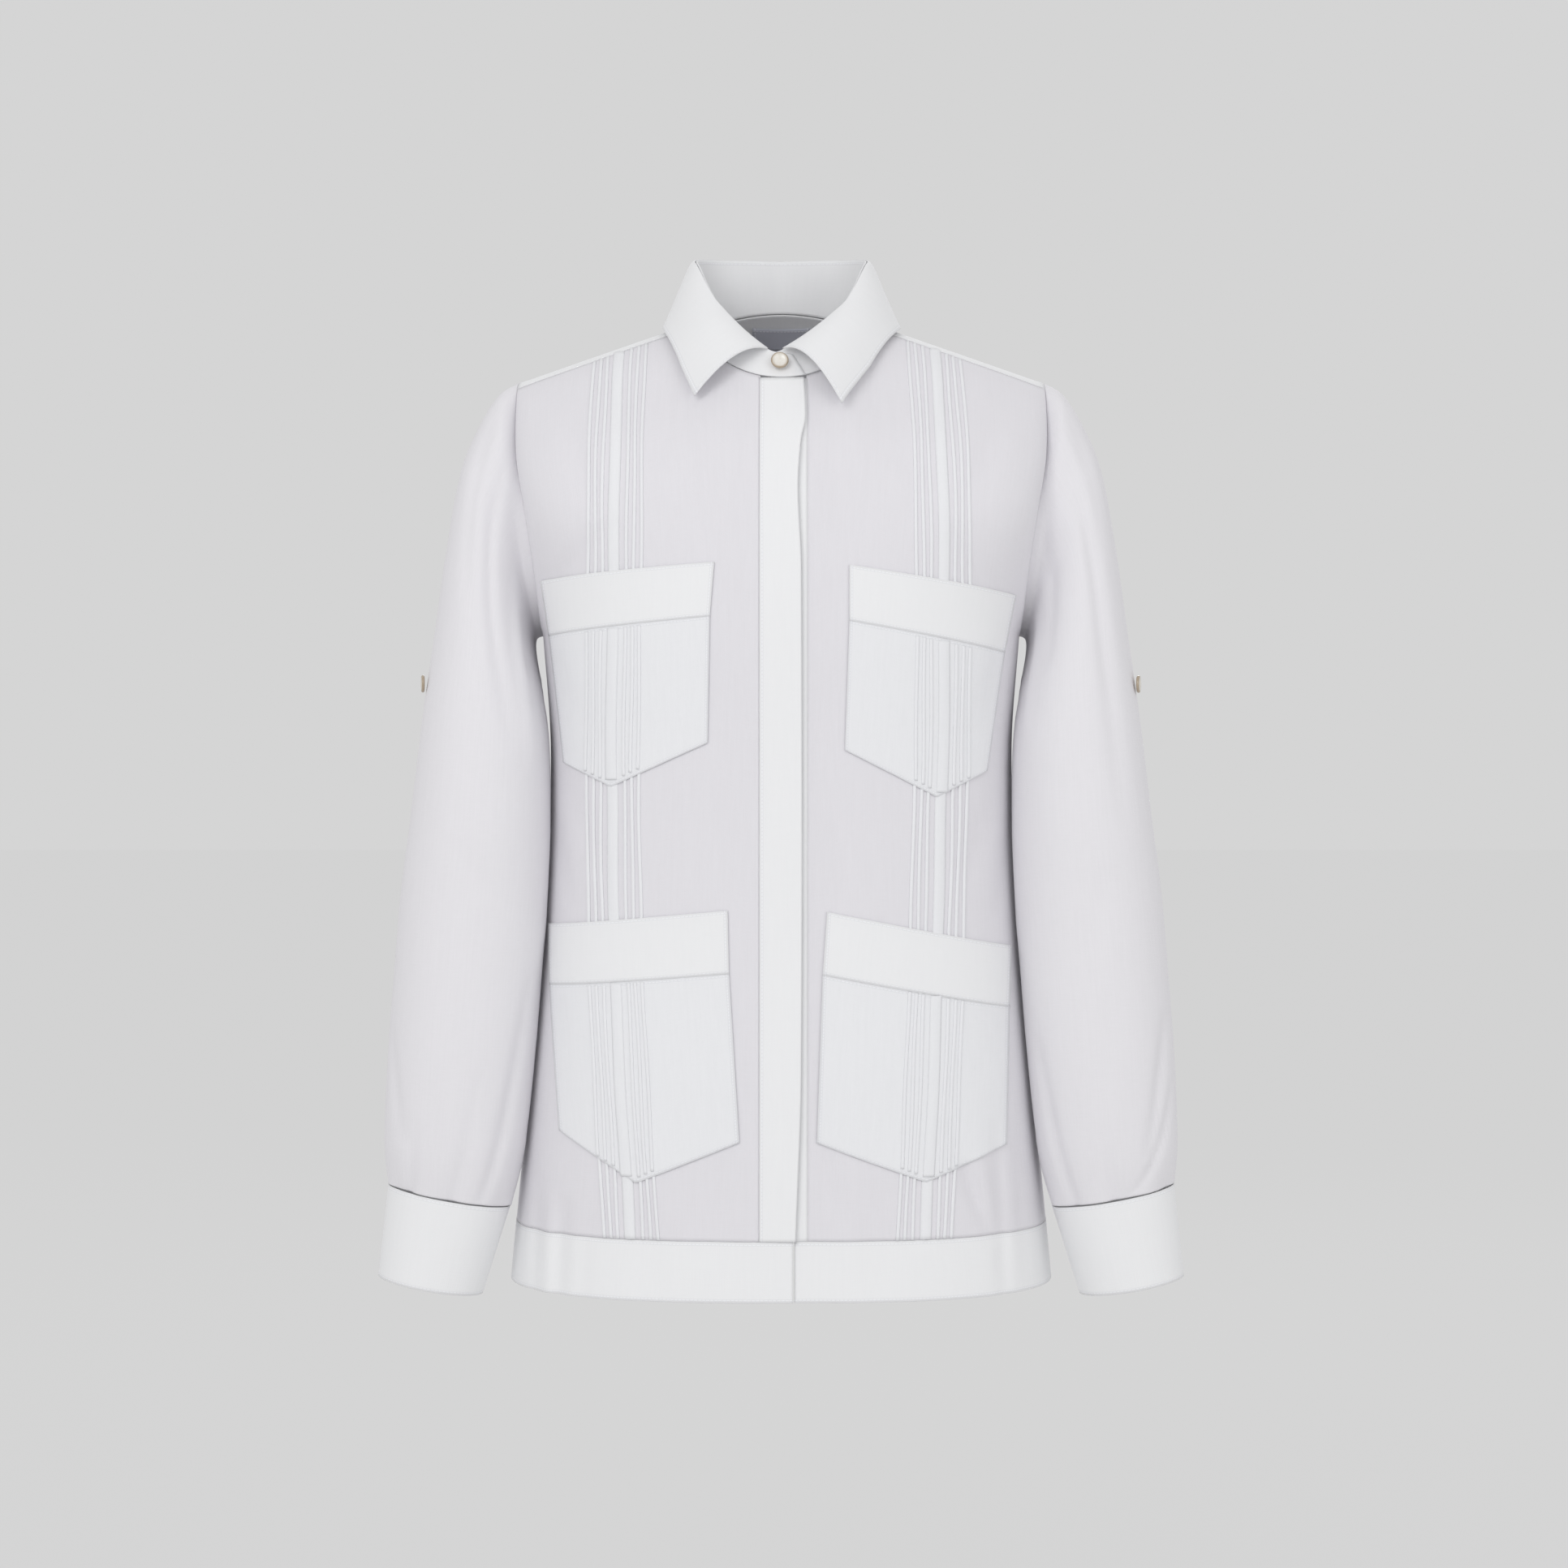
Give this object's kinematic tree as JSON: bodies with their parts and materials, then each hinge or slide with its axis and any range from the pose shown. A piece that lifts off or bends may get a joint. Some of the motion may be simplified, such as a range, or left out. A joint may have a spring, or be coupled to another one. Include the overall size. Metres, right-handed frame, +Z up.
{
  "type": "guayabera shirt",
  "caption": "Long-sleeved linen guayabera filled out as worn, with patch pockets, pin tucks, a hidden button placket, turned collar and deep cuffs.",
  "frame": {"origin": "middle of the neck base, level with the shoulder points beside the collar, where the wearer's shoulders carry the shirt", "axes": "+Z up, -Y the front, +X the wearer's left side"},
  "size_m": [0.5658, 0.2642, 0.7432],
  "materials": {
    "linen": "white plain-weave linen, semi-sheer, matt",
    "folded_linen": "the same linen in two layers, smoother and whiter",
    "label": "blank pale grey woven tape",
    "buttons": "pearly disc with a beige-brown rim"
  },
  "bodies": {
    "root": {"front_right": "linen", "front_left": "linen", "hem_band_right": "folded_linen", "hem_band_left": "folded_linen", "back": "linen", "hem_band_back": "folded_linen", "yoke": "linen", "sleeve_right": "linen", "cuff_right": "folded_linen", "sleeve_left": "linen", "cuff_left": "folded_linen", "collar_stand": "folded_linen", "collar": "folded_linen", "placket": "folded_linen", "placket_under": "folded_linen", "tuck_right_1": "linen", "tuck_right_2": "linen", "tuck_right_3": "linen", "tuck_right_4": "linen", "tuck_right_5": "linen", "tuck_right_6": "linen", "tuck_right_7": "linen", "tuck_left_1": "linen", "tuck_left_2": "linen", "tuck_left_3": "linen", "tuck_left_4": "linen", "tuck_left_5": "linen", "tuck_left_6": "linen", "tuck_left_7": "linen", "pocket_upper_right": "linen", "pocket_band_upper_right": "folded_linen", "pocket_upper_left": "linen", "pocket_band_upper_left": "folded_linen", "pocket_lower_right": "linen", "pocket_band_lower_right": "folded_linen", "pocket_lower_left": "linen", "pocket_band_lower_left": "folded_linen", "neck_label": "label", "button_collar": "buttons", "button_sleeve_right": "buttons", "button_sleeve_left": "buttons", "button_cuff_right": "buttons", "button_cuff_left": "buttons"}
  },
  "joints": []
}
